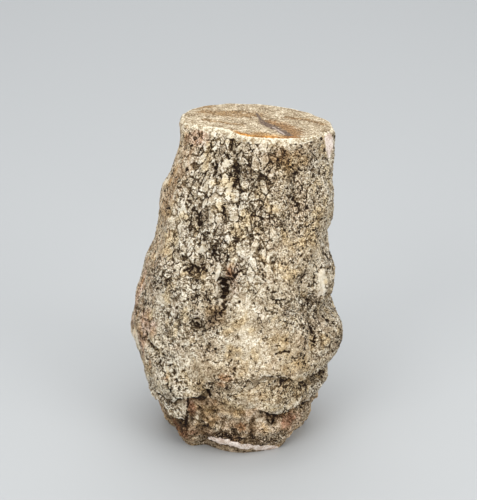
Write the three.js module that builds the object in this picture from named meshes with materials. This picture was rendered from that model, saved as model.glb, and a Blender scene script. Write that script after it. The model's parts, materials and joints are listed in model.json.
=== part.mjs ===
/**
 * Petrified wood branch.
 *
 * A 200 mm length of fossil limb, one piece of stone, standing on its sawn foot. The limb narrows
 * upwards from a swollen, knotty collar, leans a little to the right and is sawn off almost level at
 * the top, where the pale rim is worn to a bevel. Below the collar the stone tucks in under broken
 * ledges of petrified bark, and the front of the foot is chipped back in a slanting facet.
 *
 * Millimetres, +Z up, -Y is the front and +X the right. The origin is on the standing surface, under
 * the middle of the piece. A bearing is an angle in degrees round the limb, seen from above: 0 is the
 * right, 90 the back, 180 the left and 270 the front.
 */
import * as THREE from "three";
import { ImprovedNoise } from "three/addons/math/ImprovedNoise.js";

// Mesh fineness: 100 columns round the limb and 45 rows up it keep the solid under 10,000 faces.
const COLUMNS = 100;
const ROWS = 45;

// The sawn top: its height at the limb's axis, and how far it falls towards the right.
const HEIGHT = 198;
const TOP_FALL_DEG = 3.5;

// Reach of the limb at each height, before its lumps: left (-X), right (+X), front (-Y), back (+Y).
const REACH = [
  { z: 0, left: -47.5, right: 43.5, front: -52, back: 44 },
  { z: 12, left: -52, right: 48, front: -57.5, back: 47 },
  { z: 24, left: -56.5, right: 52.5, front: -61, back: 50 },
  { z: 36, left: -60, right: 56, front: -64, back: 53 },
  { z: 48, left: -61, right: 58.5, front: -66, back: 56 },
  { z: 62, left: -63.8, right: 60.5, front: -66.5, back: 58 },
  { z: 78, left: -65, right: 60.5, front: -64, back: 58 },
  { z: 95, left: -62.5, right: 59.5, front: -59.5, back: 56.5 },
  { z: 112, left: -58.5, right: 58.5, front: -54.5, back: 55 },
  { z: 130, left: -51.5, right: 58, front: -48.5, back: 53.5 },
  { z: 150, left: -47, right: 58, front: -42, back: 52 },
  { z: 170, left: -42, right: 58.2, front: -35.5, back: 51 },
  { z: 186, left: -38, right: 59.3, front: -31, back: 51 },
  { z: 202, left: -37, right: 60, front: -27.5, back: 51 },
];

// Lumps (rise > 0) and hollows (rise < 0): where they are, how far they stand out, and how wide they
// are along the surface. lean turns the long way of the lump, clockwise seen from outside.
const LUMPS = [
  // The swollen collar and its bosses
  { name: "left boss", bearing: 190, z: 70, rise: 4, around: 20, up: 14 },
  { name: "right boss", bearing: 345, z: 68.5, rise: 8, around: 20, up: 12.5 },
  { name: "front belly", bearing: 283, z: 66, rise: 2.5, around: 34, up: 24 },
  { name: "front left lobe", bearing: 229, z: 49, rise: 4.5, around: 16, up: 9 },
  { name: "back boss", bearing: 78, z: 70, rise: 5, around: 30, up: 20 },
  { name: "back left knot", bearing: 132, z: 52, rise: 4, around: 18, up: 14 },
  // Knobs on the right edge and the notches between them
  { name: "right knob", bearing: 340, z: 104, rise: 4.2, around: 13, up: 11 },
  { name: "upper right notch", bearing: 345, z: 128, rise: -4.6, around: 16, up: 6 },
  { name: "middle right notch", bearing: 348, z: 86.5, rise: -9, around: 21, up: 5 },
  { name: "lower right notch", bearing: 338, z: 49, rise: -6, around: 15, up: 4.5 },
  { name: "lower right lump", bearing: 342, z: 36, rise: 1.6, around: 13, up: 6 },
  { name: "groove beside the boss", bearing: 321, z: 80, rise: -3.4, around: 4.5, up: 13, lean: 12 },
  { name: "hollow beside the knob", bearing: 319, z: 106, rise: -2.6, around: 8, up: 9 },
  // The cleft in the middle of the front, and the hollows round it
  { name: "cleft", bearing: 261, z: 109, rise: -9, around: 3.2, up: 9.5, lean: -8 },
  { name: "side branch of the cleft", bearing: 263, z: 119.5, rise: -5, around: 6, up: 2.8, lean: -18 },
  { name: "groove under the cleft", bearing: 261, z: 95, rise: -3, around: 4, up: 7, lean: 34 },
  { name: "eye hollow", bearing: 245, z: 90, rise: -3.4, around: 7, up: 5 },
  { name: "arch over the eye", bearing: 245, z: 98, rise: 1.6, around: 10, up: 3.5 },
  { name: "left hollow", bearing: 227, z: 93, rise: -2.4, around: 7, up: 7 },
  { name: "lower left hollow", bearing: 233, z: 79, rise: -2.2, around: 6, up: 5 },
  { name: "hollow under the belly", bearing: 255, z: 49, rise: -3.2, around: 6, up: 6 },
  // Bark of the upper limb: broad ribs and the furrows between them
  { name: "dark furrow", bearing: 252, z: 180, rise: -3.2, around: 3.8, up: 12, lean: -14 },
  { name: "furrow below it", bearing: 252, z: 153, rise: -2.4, around: 3.6, up: 9, lean: -10 },
  { name: "second furrow", bearing: 229, z: 182, rise: -2.2, around: 3.6, up: 8, lean: -12 },
  { name: "third furrow", bearing: 230, z: 151, rise: -2.6, around: 4, up: 11, lean: -10 },
  { name: "low furrow", bearing: 247, z: 127, rise: -2.8, around: 3.8, up: 9, lean: -12 },
  { name: "cross furrow", bearing: 238, z: 122, rise: -1.6, around: 14, up: 3.4 },
  { name: "right furrow", bearing: 304, z: 168, rise: -2, around: 4, up: 18, lean: -4 },
  { name: "bark rib", bearing: 241, z: 172, rise: 1.8, around: 4, up: 18, lean: -12 },
  { name: "middle rib", bearing: 266, z: 168, rise: 1.4, around: 5, up: 22, lean: -12 },
  { name: "left shoulder", bearing: 193, z: 158, rise: 2, around: 16, up: 16 },
  { name: "left edge flake", bearing: 190, z: 181, rise: 1.4, around: 8, up: 7 },
  { name: "back furrow", bearing: 102, z: 150, rise: -3, around: 5, up: 30, lean: 6 },
  { name: "back rib", bearing: 66, z: 160, rise: 2, around: 9, up: 26, lean: -4 },
  { name: "right back furrow", bearing: 24, z: 160, rise: -2.4, around: 4.5, up: 26, lean: 4 },
  { name: "left back furrow", bearing: 163, z: 134, rise: -2.6, around: 4.5, up: 26, lean: -6 },
  { name: "back fold", bearing: 146, z: 118, rise: 2.8, around: 9, up: 30, lean: -10 },
  // Knots and hollows of the back
  { name: "upper back knot", bearing: 122, z: 144, rise: 3.6, around: 10, up: 12 },
  { name: "back hollow", bearing: 42, z: 112, rise: -3.4, around: 12, up: 12 },
  { name: "right back boss", bearing: 26, z: 80, rise: 4.2, around: 15, up: 14 },
  { name: "groove beside it", bearing: 46, z: 70, rise: -3, around: 5, up: 16, lean: 22 },
  { name: "back cleft", bearing: 118, z: 96, rise: -5, around: 4, up: 9, lean: 18 },
  { name: "low back hollow", bearing: 98, z: 42, rise: -3, around: 12, up: 7 },
  // The sawn rim: flattened front left side, chipped corner, and the smooth chip on the right
  { name: "flat of the top", bearing: 216, z: 204, rise: -8.5, around: 14, up: 30 },
  { name: "front of the flat", bearing: 240, z: 204, rise: -6.5, around: 12, up: 26 },
  { name: "chipped corner", bearing: 200, z: 205, rise: -2, around: 6, up: 6 },
  { name: "right chip", bearing: 338, z: 197, rise: -1.8, around: 6, up: 9 },
  // The foot: a lobe that reaches the floor and the notch beside it, and what is broken off the front
  { name: "foot lobe", bearing: 232, z: 9, rise: 3.4, around: 8, up: 10 },
  { name: "foot notch", bearing: 243, z: 3, rise: -4, around: 5, up: 7 },
  { name: "left front of the foot", bearing: 252, z: 2, rise: -4.5, around: 10, up: 9 },
  { name: "right front of the foot", bearing: 297, z: 1, rise: 2.8, around: 13, up: 12 },
  { name: "right of the foot", bearing: 325, z: 4, rise: -5.5, around: 11, up: 8 },
  { name: "left of the foot", bearing: 209, z: 2, rise: -5, around: 8, up: 8 },
  { name: "tan patch", bearing: 290, z: 19, rise: 1.8, around: 9, up: 5 },
  { name: "small recess", bearing: 294, z: 27, rise: -3, around: 4.5, up: 2.6 },
];

// Broken bark ledges, each a line of [bearing, z] points from left to right as seen from outside,
// or from right to left: the stone above the line stands out and the stone below it tucks in.
const LEDGES = [
  { name: "left collar edge", path: [[195, 45], [221, 42], [232, 39], [243, 42], [250, 45]], out: 3.6 },
  { name: "left facet edge", path: [[192, 24], [210, 23], [222, 24], [231, 25], [238, 30]], out: 3.6 },
  { name: "right collar edge", path: [[352, 45], [338, 47], [325, 52], [314, 54]], out: 3.2 },
  { name: "front lobe edge", path: [[352, 36], [334, 34], [316, 32], [300, 31], [288, 30]], out: 3.4 },
  { name: "right foot edge", path: [[345, 24], [331, 20], [323, 13], [320, 7]], out: 2.2 },
  { name: "left crease", path: [[196, 76], [206, 74], [214, 72], [226, 69]], out: 1.6 },
  { name: "brow over the collar", path: [[314, 54], [305, 55], [296, 60], [284, 61]], out: 1.4 },
  { name: "back collar edge", path: [[20, 44], [50, 37], [84, 40], [112, 34], [146, 37], [170, 44]], out: 3 },
  { name: "back foot ledge", path: [[30, 18], [62, 21], [90, 16], [122, 19]], out: 2.2 },
];
// How sharp a ledge's step is, how far its effect reaches up and down, and how it dies at its ends.
const LEDGE_SOFTNESS = 1.6;
const LEDGE_DEPTH = 9;
const LEDGE_FADE = 8;

// The foot is worn all round, and chipped back in one slanting facet at the front.
const FOOT_WEAR = { up: 1.6, in: 1.8 };
const FOOT_CHIP = { from: 246, to: 296, up: 9, in: 7, ends: 7 };

// The sawn rim is worn to a bevel, deepest at the front.
const RIM_BEVEL = { front: 2.8, back: 1.2 };

// Grain of the bark on the upper limb: its width and length, its rise, and where it sets in.
const BARK = { across: 7.5, along: 36, rise: 1.5, from: 104, to: 136 };

// Unevenness of the stone: size of the swells, and how far they rise.
const SWELLS = [
  { size: 42, rise: 2.4 },
  { size: 19, rise: 1.9 },
  { size: 9.5, rise: 1.3 },
];

const radians = THREE.MathUtils.degToRad;
const smoothstep = THREE.MathUtils.smoothstep;
const noise = new ImprovedNoise();

/** The shortest way from bearing b to bearing a, in radians. */
function turn(a, b) {
  const d = radians(a - b);
  return Math.atan2(Math.sin(d), Math.cos(d));
}

/** One side's reach at a height: a smooth cubic through the stations. */
function reachAt(side, z) {
  const last = REACH.length - 1;
  let i = REACH.findIndex((s) => s.z > z) - 1;
  if (i < 0) i = z < REACH[0].z ? 0 : last - 1;
  const slope = (k) => {
    const a = REACH[Math.max(k - 1, 0)];
    const b = REACH[Math.min(k + 1, last)];
    return (b[side] - a[side]) / (b.z - a.z);
  };
  const a = REACH[i];
  const b = REACH[i + 1];
  const h = b.z - a.z;
  const t = (z - a.z) / h;
  return (
    a[side] * (1 + 2 * t) * (1 - t) ** 2 +
    slope(i) * h * t * (1 - t) ** 2 +
    b[side] * t * t * (3 - 2 * t) +
    slope(i + 1) * h * t * t * (t - 1)
  );
}

/** The limb's cross-section at a height: its middle, and its reach from there on each side. */
function sectionAt(z) {
  const [left, right, front, back] = ["left", "right", "front", "back"].map((s) => reachAt(s, z));
  return {
    x: (left + right) / 2,
    y: (front + back) / 2,
    halfWidth: (right - left) / 2,
    halfDepth: (back - front) / 2,
  };
}

/** Radius of the plain limb, an ellipse at each height. */
function plainRadius(section, bearing) {
  const c = Math.cos(radians(bearing));
  const s = Math.sin(radians(bearing));
  return (section.halfWidth * section.halfDepth) / Math.hypot(section.halfDepth * c, section.halfWidth * s);
}

/** What one lump adds at a place on the surface. */
function lumpRise(lump, bearing, z, radius) {
  const across = turn(bearing, lump.bearing) * radius;
  const along = z - lump.z;
  const lean = radians(lump.lean ?? 0);
  const u = (across * Math.cos(lean) - along * Math.sin(lean)) / lump.around;
  const v = (across * Math.sin(lean) + along * Math.cos(lean)) / lump.up;
  return lump.rise * Math.exp(-(u * u + v * v));
}

/** What one ledge adds: out above its line, in below it, and nothing past its ends. */
function ledgeRise(ledge, bearing, z, radius) {
  let nearest = Infinity;
  let side = 0;
  ledge.path.slice(1).forEach((end, i) => {
    const start = ledge.path[i];
    const ax = turn(bearing, start[0]) * radius;
    const az = z - start[1];
    const bx = turn(end[0], start[0]) * radius;
    const bz = end[1] - start[1];
    const length2 = bx * bx + bz * bz;
    const t = THREE.MathUtils.clamp((ax * bx + az * bz) / length2, 0, 1);
    const distance = Math.hypot(ax - t * bx, az - t * bz);
    if (distance < nearest) {
      nearest = distance;
      const above = ((az * bx - ax * bz) * Math.sign(bx)) / Math.sqrt(length2);
      const past = Math.max(0, distance - Math.abs(above));
      side = above * (1 - smoothstep(past, 0, LEDGE_FADE));
    }
  });
  const step = side / (Math.abs(side) + LEDGE_SOFTNESS);
  return ledge.out * step * Math.exp(-nearest / LEDGE_DEPTH);
}

/** Swells of the stone at a place in space. */
function swellRise(x, y, z) {
  let sum = 0;
  SWELLS.forEach(({ size, rise }, i) => {
    sum += rise * noise.noise(x / size + 7 * i, y / size + 3 * i, z / size + 11 * i);
  });
  return sum;
}

/** Upright ribs and furrows of the bark at a place in space. */
function barkRise(x, y, z) {
  const strength = smoothstep(z, BARK.from, BARK.to);
  return BARK.rise * strength * noise.noise(x / BARK.across + 31, y / BARK.across + 17, z / BARK.along);
}

/** A point of the limb's skin. */
function skin(bearing, z) {
  const section = sectionAt(z);
  const plain = plainRadius(section, bearing);
  const c = Math.cos(radians(bearing));
  const s = Math.sin(radians(bearing));
  const x = section.x + plain * c;
  const y = section.y + plain * s;
  let radius = plain + swellRise(x, y, z) + barkRise(x, y, z);
  LUMPS.forEach((lump) => (radius += lumpRise(lump, bearing, z, plain)));
  LEDGES.forEach((ledge) => (radius += ledgeRise(ledge, bearing, z, plain)));
  return { section, radius, c, s };
}

/** A point of the skin moved inwards, at a height of its own. */
function point({ section, radius, c, s }, inwards, z) {
  return new THREE.Vector3(section.x + (radius - inwards) * c, section.y + (radius - inwards) * s, z);
}

/** Height of the sawn top over a place. */
function topAt(x) {
  const middle = sectionAt(HEIGHT).x;
  return HEIGHT - Math.tan(radians(TOP_FALL_DEG)) * (x - middle);
}

/** How high and how deep the foot is worn or chipped at a bearing. */
function footWear(bearing) {
  const { from, to, ends } = FOOT_CHIP;
  const chipped = smoothstep(bearing, from - ends, from) * (1 - smoothstep(bearing, to, to + ends));
  return {
    up: THREE.MathUtils.lerp(FOOT_WEAR.up, FOOT_CHIP.up, chipped),
    in: THREE.MathUtils.lerp(FOOT_WEAR.in, FOOT_CHIP.in, chipped),
  };
}

/** One column of points, from the edge of the foot's flat up to the edge of the sawn top. */
function column(bearing) {
  const wear = footWear(bearing);
  const front = (1 - Math.sin(radians(bearing))) / 2;
  const bevel = THREE.MathUtils.lerp(RIM_BEVEL.back, RIM_BEVEL.front, front);
  const rim = skin(bearing, HEIGHT);
  const top = topAt(rim.section.x + rim.radius * rim.c);
  const points = [point(skin(bearing, wear.up), wear.in, 0)];
  for (let row = 0; row <= ROWS; row++) {
    const z = THREE.MathUtils.lerp(wear.up, top - bevel, row / ROWS);
    points.push(point(skin(bearing, z), 0, z));
  }
  const edge = point(skin(bearing, top), bevel, top);
  edge.z = topAt(edge.x);
  points.push(edge);
  return points;
}

/** The whole branch as one closed surface: columns side by side, closed by a fan at each end. */
function branchGeometry() {
  const columns = Array.from({ length: COLUMNS }, (_, i) => column((360 * i) / COLUMNS));
  const rings = columns[0].length;
  const vertices = columns.flat();
  const faces = [];
  const at = (i, ring) => (i % COLUMNS) * rings + ring;
  for (let i = 0; i < COLUMNS; i++) {
    for (let ring = 0; ring < rings - 1; ring++) {
      faces.push(at(i, ring), at(i + 1, ring), at(i + 1, ring + 1));
      faces.push(at(i, ring), at(i + 1, ring + 1), at(i, ring + 1));
    }
  }
  const foot = sectionAt(0);
  const crown = sectionAt(HEIGHT);
  const footMiddle = vertices.push(new THREE.Vector3(foot.x, foot.y, 0)) - 1;
  const crownMiddle = vertices.push(new THREE.Vector3(crown.x, crown.y, topAt(crown.x))) - 1;
  for (let i = 0; i < COLUMNS; i++) {
    faces.push(footMiddle, at(i + 1, 0), at(i, 0));
    faces.push(crownMiddle, at(i, rings - 1), at(i + 1, rings - 1));
  }
  const geometry = new THREE.BufferGeometry().setFromPoints(vertices);
  geometry.setIndex(faces);
  geometry.computeBoundingBox();
  const middle = geometry.boundingBox.getCenter(new THREE.Vector3());
  geometry.translate(-middle.x, -middle.y, 0);
  geometry.computeVertexNormals();
  return geometry;
}

const stone = new THREE.MeshStandardMaterial({ color: 0xb5a78c, roughness: 0.85, metalness: 0 });
const branch = new THREE.Mesh(branchGeometry(), stone);
branch.name = "petrified_branch";

const part = new THREE.Group();
part.add(branch);

export default part;
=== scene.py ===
"""Petrified wood branch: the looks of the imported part.

A short length of fossil limb, one piece of stone, stands on its sawn foot. Metres, in the frame of the
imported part: +Z up, -Y the front. Patterns are thought of in millimetres.
"""
import json
import math

import bpy
import numpy as np
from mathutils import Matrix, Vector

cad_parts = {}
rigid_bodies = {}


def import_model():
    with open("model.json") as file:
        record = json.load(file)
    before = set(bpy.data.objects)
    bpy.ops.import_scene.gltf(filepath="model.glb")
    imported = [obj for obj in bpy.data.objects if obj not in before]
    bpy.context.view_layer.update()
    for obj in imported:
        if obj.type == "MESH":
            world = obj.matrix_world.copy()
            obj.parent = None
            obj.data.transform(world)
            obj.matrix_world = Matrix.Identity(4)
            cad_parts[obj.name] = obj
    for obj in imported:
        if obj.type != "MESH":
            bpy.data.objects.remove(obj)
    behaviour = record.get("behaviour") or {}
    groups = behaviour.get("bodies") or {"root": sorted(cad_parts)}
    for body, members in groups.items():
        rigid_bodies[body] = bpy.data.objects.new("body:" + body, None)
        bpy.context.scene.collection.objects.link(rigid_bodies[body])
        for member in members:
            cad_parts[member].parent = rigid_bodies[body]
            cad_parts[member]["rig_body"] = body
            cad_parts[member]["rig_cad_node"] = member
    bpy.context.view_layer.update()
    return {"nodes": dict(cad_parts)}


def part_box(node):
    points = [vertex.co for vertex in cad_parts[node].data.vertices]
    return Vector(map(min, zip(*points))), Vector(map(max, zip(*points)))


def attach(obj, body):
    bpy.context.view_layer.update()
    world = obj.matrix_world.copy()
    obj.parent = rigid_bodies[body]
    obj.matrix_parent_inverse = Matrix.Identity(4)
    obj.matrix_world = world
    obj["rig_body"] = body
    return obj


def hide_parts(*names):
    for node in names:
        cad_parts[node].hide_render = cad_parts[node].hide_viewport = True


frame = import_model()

MM = 0.001

# ---------------------------------------------------------------------------------------------------
# The branch: a limb turned to stone, bark and all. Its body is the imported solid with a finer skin:
# crusted bark on the outside, a sawn face with a pale rim on top, and a broken, browner foot.
# ---------------------------------------------------------------------------------------------------
NODE = "petrified_branch"
HALF_HEIGHT = 0.1
# The solid's ends are fans of faces: a point in more faces than this is the middle of one.
FAN_FACES = 30
# How far out the new rings of each end lie, as shares of its edge.
TOP_RINGS = (0.9, 0.78, 0.64, 0.5, 0.36, 0.2)
FOOT_RINGS = (0.85, 0.5)
TOP_CREASE = 0.7
FOOT_CREASE = 1
WELD = 0.01 * MM

solid = frame["nodes"][NODE]
bpy.ops.object.select_all(action="DESELECT")
solid.select_set(True)
bpy.context.view_layer.objects.active = solid
bpy.ops.object.duplicate()
branch = bpy.context.active_object
branch.name = "branch"
branch.parent = None
del branch["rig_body"]
del branch["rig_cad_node"]


def coordinates(mesh):
    """Every vertex of a mesh as rows of x, y, z in millimetres."""
    flat = np.empty(len(mesh.vertices) * 3)
    mesh.vertices.foreach_get("co", flat)
    return flat.reshape(-1, 3) / MM


def choose(mode, wanted):
    """In edit mode, selects just the elements whose numbers are given."""
    bpy.ops.mesh.select_mode(type=mode)
    bpy.ops.mesh.select_all(action="DESELECT")
    bpy.ops.object.mode_set(mode="OBJECT")
    elements = {"VERT": branch.data.vertices, "FACE": branch.data.polygons}[mode]
    for number in wanted:
        elements[number].select = True
    bpy.ops.object.mode_set(mode="EDIT")


# The fans are dissolved, and rings of faces the size of the bark's are drawn in towards the middle, so
# that the sawn faces can be textured too.
bpy.ops.object.mode_set(mode="EDIT")
bpy.ops.mesh.select_all(action="SELECT")
bpy.ops.mesh.remove_doubles(threshold=WELD)
bpy.ops.object.mode_set(mode="OBJECT")
corners = np.empty(len(branch.data.loops), int)
branch.data.loops.foreach_get("vertex_index", corners)
poles = [int(v) for v in np.flatnonzero(np.bincount(corners) > FAN_FACES)]
middles = {}
for pole in poles:
    middle = branch.data.vertices[pole].co.copy()
    middles["top" if middle.z > HALF_HEIGHT else "foot"] = middle
bpy.ops.object.mode_set(mode="EDIT")
choose("VERT", poles)
bpy.ops.mesh.dissolve_verts()
bpy.ops.mesh.select_all(action="SELECT")
bpy.ops.mesh.tris_convert_to_quads(face_threshold=math.pi, shape_threshold=math.pi)
for end, rings, crease in (("top", TOP_RINGS, TOP_CREASE), ("foot", FOOT_RINGS, FOOT_CREASE)):
    bpy.ops.object.mode_set(mode="OBJECT")
    wide_faces = [face for face in branch.data.polygons if len(face.vertices) > FAN_FACES]
    caps = [face.index for face in wide_faces if (face.center.z > HALF_HEIGHT) == (end == "top")]
    bpy.ops.object.mode_set(mode="EDIT")
    choose("FACE", caps)
    bpy.ops.mesh.select_mode(type="EDGE")
    bpy.ops.transform.edge_crease(value=crease)
    bpy.ops.mesh.select_mode(type="FACE")
    size = 1
    for ring in rings:
        bpy.ops.mesh.extrude_region_move()
        bpy.ops.transform.resize(value=(ring / size,) * 3, center_override=middles[end])
        size = ring
    bpy.ops.mesh.poke()
bpy.ops.object.mode_set(mode="OBJECT")
finer = branch.modifiers.new("finer skin", "SUBSURF")
finer.levels = finer.render_levels = 2
bpy.ops.object.modifier_apply(modifier=finer.name)

# Where each point of the skin is: its bearing round the limb's axis (0 the right, 90 the back, 180 the
# left, 270 the front), its height, and its distance from the axis.
skin = coordinates(branch.data)
foot_middle, top_middle = (np.array(middles[end]) / MM for end in ("foot", "top"))
height = skin[:, 2]
from_axis = skin - (foot_middle + np.outer(height / top_middle[2], top_middle - foot_middle))
radius = np.hypot(from_axis[:, 0], from_axis[:, 1])
bearing = np.degrees(np.arctan2(from_axis[:, 1], from_axis[:, 0])) % 360


def turned(start):
    """Degrees from a bearing to every point of the skin, the short way round."""
    return (bearing - start + 180) % 360 - 180


def patch(at, tall, start, wide, lean=0):
    """How far inside a patch each point is: 1 in its middle, 1/2 at its edge, 0 at twice its size."""
    across = np.radians(turned(start)) * radius
    along = height - at
    lean = math.radians(lean)
    u = (across * math.cos(lean) - along * math.sin(lean)) / (wide / 2)
    v = (across * math.sin(lean) + along * math.cos(lean)) / (tall / 2)
    return np.clip(1 - 0.5 * np.hypot(u, v), 0, 1)


def distance(across, along, run, rise):
    """How far points are from a straight line that starts at 0, 0 and ends at run, rise."""
    share = np.clip((across * run + along * rise) / (run * run + rise * rise), 0, 1)
    return np.hypot(across - share * run, along - share * rise)


def groove(wide, path):
    """How far inside a wavering line of (bearing, height) points: 1 in its middle, 1/2 at its edge."""
    nearest = np.full(len(skin), np.inf)
    turn = np.radians(bearing)
    wobble = 0.45 * np.sin(height * 1.7 + turn * 9) + 0.3 * np.sin(height * 2.9 - turn * 41)
    for start, end in zip(path, path[1:]):
        run = np.radians((end[0] - start[0] + 180) % 360 - 180) * radius
        across = np.radians(turned(start[0])) * radius + wobble
        near = distance(across, height - start[1] + wobble, run, end[1] - start[1])
        nearest = np.minimum(nearest, near)
    return np.clip(1 - nearest / wide, 0, 1)


def fade(value, start, end):
    """A smooth step from 0 at start to 1 at end."""
    share = np.clip((value - start) / (end - start), 0, 1)
    return share * share * (3 - 2 * share)


def facing(middle, whole, none):
    """The side that faces a bearing: 1 up to one number of degrees from it, 0 past another."""
    return 1 - fade(np.abs(turned(middle)), whole, none)


def keep(name, values):
    """Stores one number for each point of the skin, for the relief and the finish to read."""
    attribute = branch.data.attributes.new(name, "FLOAT", "POINT")
    attribute.data.foreach_set("value", np.asarray(values, np.float32))


def keep_most(name, shapes):
    """Stores how far inside the nearest of several shapes each point is."""
    keep(name, np.maximum.reduce(list(shapes)))


def lip(path, rise, depth, reach):
    """An edge of crust over a (bearing, height) line: proud above it, cut back below it, in millimetres.

    Gives the relief, the height over the ragged line, and how much of the lip there is.
    """
    bearings, heights = (np.array(side) for side in zip(*path))
    turn = np.radians(bearing)
    ragged = 0.6 * np.sin(turn * 31) + 0.5 * np.sin(turn * 67 + 50) + 0.4 * np.sin(turn * 113 + 20)
    over = height - np.interp(bearing, bearings, heights) - ragged
    there = fade(bearing, bearings[0] - 5, bearings[0] + 4)
    there = there * (1 - fade(bearing, bearings[-1] - 4, bearings[-1] + 5))
    relief = there * np.where(over > 0, rise, depth) * np.exp(-np.abs(over) / reach) * np.tanh(over / 0.6)
    return relief, over, there * min(depth / 3, 1)


# Cracks, clefts and furrows: how wide they are in millimetres, and their (bearing, height) points.
CRACKS = [
    # the top of the front
    (1.1, [(209, 191), (213, 185.6)]),
    (1.1, [(220.3, 190.3), (226.2, 183.7)]),
    (1.2, [(239, 188.7), (244, 185.7), (249.6, 183.3)]),
    (1.7, [(229, 181.2), (236.6, 178.7), (237.6, 181.7)]),
    (1.5, [(300.2, 181.7), (304, 175.3)]),
    (2.6, [(250.2, 185), (252.4, 179.6), (254.5, 174.2), (252.9, 171)]),
    (1.3, [(207.7, 175.5), (212, 171.6)]),
    (1.5, [(302.4, 162.4), (304, 157.8), (305.6, 154.2)]),
    (0.8, [(269.4, 156), (273.7, 157), (276.4, 160.2)]),
    (0.8, [(265.6, 159.5), (264.3, 151.5)]),
    (1.5, [(248, 160.8), (249.2, 155), (251.6, 150.6)]),
    (1.7, [(224.4, 155.3), (228.4, 152), (230, 147.5), (235, 145.3)]),
    (1.8, [(245.2, 133.7), (246.4, 129)]),
    (1.0, [(237.2, 131.8), (239.6, 130.7)]),
    (1.8, [(254.3, 133), (256.2, 127.8)]),
    (1.0, [(218.3, 131.3), (224.4, 129.3)]),
    # the cleft and the rest of the middle
    (1.1, [(236.5, 123.3), (241, 124.8)]),
    (1.8, [(228.6, 119.4), (232.5, 122.2), (238.6, 122.4), (242.8, 121.8)]),
    (2.0, [(250.5, 117.6), (254.3, 117.3), (257.5, 117.3), (261.5, 119.6)]),
    (0.9, [(278.3, 118), (280.7, 116.7)]),
    (1.4, [(309, 113.6), (313.4, 115), (318.3, 114.6), (322.7, 115.4), (325.4, 117)]),
    (2.4, [(254.4, 115), (256.2, 111.5), (255.6, 106.8)]),
    (1.3, [(285.4, 109.2), (288.9, 110.7)]),
    (1.4, [(330, 117), (331.5, 111), (331, 104), (328, 99)]),
    (1.2, [(337, 114), (339, 107), (336, 99)]),
    (1.4, [(283.5, 106.4), (286.5, 105.2), (290.4, 103.3)]),
    (1.2, [(265.3, 106.4), (269, 103.4)]),
    (1.8, [(256, 105.4), (257, 101.4)]),
    (1.2, [(256.5, 100), (255, 97.5), (257.3, 94.7)]),
    (1.7, [(312, 99.7), (316.8, 96.8), (322, 94), (332.6, 89.5)]),
    (1.1, [(238.6, 89.7), (240.5, 93), (243.6, 94), (246.4, 91), (248, 88.8)]),
    (1.6, [(244, 93.2), (245.4, 89)]),
    (1.2, [(248.2, 87.9), (251.2, 90.2), (254, 91.7)]),
    # the collar
    (1.3, [(293.1, 82.2), (296.3, 79.1)]),
    (1.7, [(314.6, 88), (313.3, 83.1), (315, 80.3), (315.7, 77.5), (314.8, 72.5)]),
    (1.2, [(251.9, 80), (253.9, 79.7), (256, 78.7)]),
    (1.1, [(328, 84), (333, 80), (337, 73)]),
    (0.7, [(261.8, 79.9), (263.1, 77.1), (264.7, 75.4)]),
    (0.7, [(285.9, 74.7), (291.5, 75.1), (296, 73.9)]),
    (0.8, [(263.9, 73), (267.5, 70.7)]),
    (1.1, [(323, 76), (327, 70), (325, 64)]),
    (1.4, [(207.7, 74), (214, 70.7), (223.3, 67.7), (230, 61.9), (234.9, 55.9), (238.8, 48.4)]),
    (0.8, [(281.6, 61.2), (286.8, 61.2), (293.3, 57.9)]),
    (1.2, [(215.3, 65.8), (221.5, 58.2), (229.3, 52.6), (233.8, 45.1)]),
    (1.0, [(203.5, 55), (209.1, 54.7), (213.6, 49.5)]),
    (1.8, [(335.8, 47.7), (318.2, 52.6), (310.4, 51)]),
    (2.2, [(252.4, 50.8), (253, 46.4)]),
    (1.0, [(214.6, 47), (222, 44.5)]),
    (1.3, [(228.2, 50), (231.2, 46.5), (233.5, 43.3), (237, 41.5)]),
    # the foot
    (1.5, [(211, 31.6), (217, 33.6), (224, 35.6), (229, 36.6), (234, 38.6)]),
    (1.1, [(240.8, 40.5), (238.4, 32), (236, 24.4)]),
    (2.0, [(291, 24.6), (293.5, 23.6)]),
    # the sides and the back
    (1.4, [(84, 172), (88, 160), (86, 150)]),
    (1.4, [(120, 170), (124, 158), (121, 149)]),
    (1.6, [(40, 150), (43, 138), (41, 128)]),
    (2.4, [(95, 120), (97, 108), (94, 98)]),
    (1.3, [(150, 96), (156, 88), (153, 80)]),
    (1.4, [(105, 75), (112, 70), (120, 72)]),
    (1.8, [(70, 60), (78, 57), (84, 62)]),
]
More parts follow.
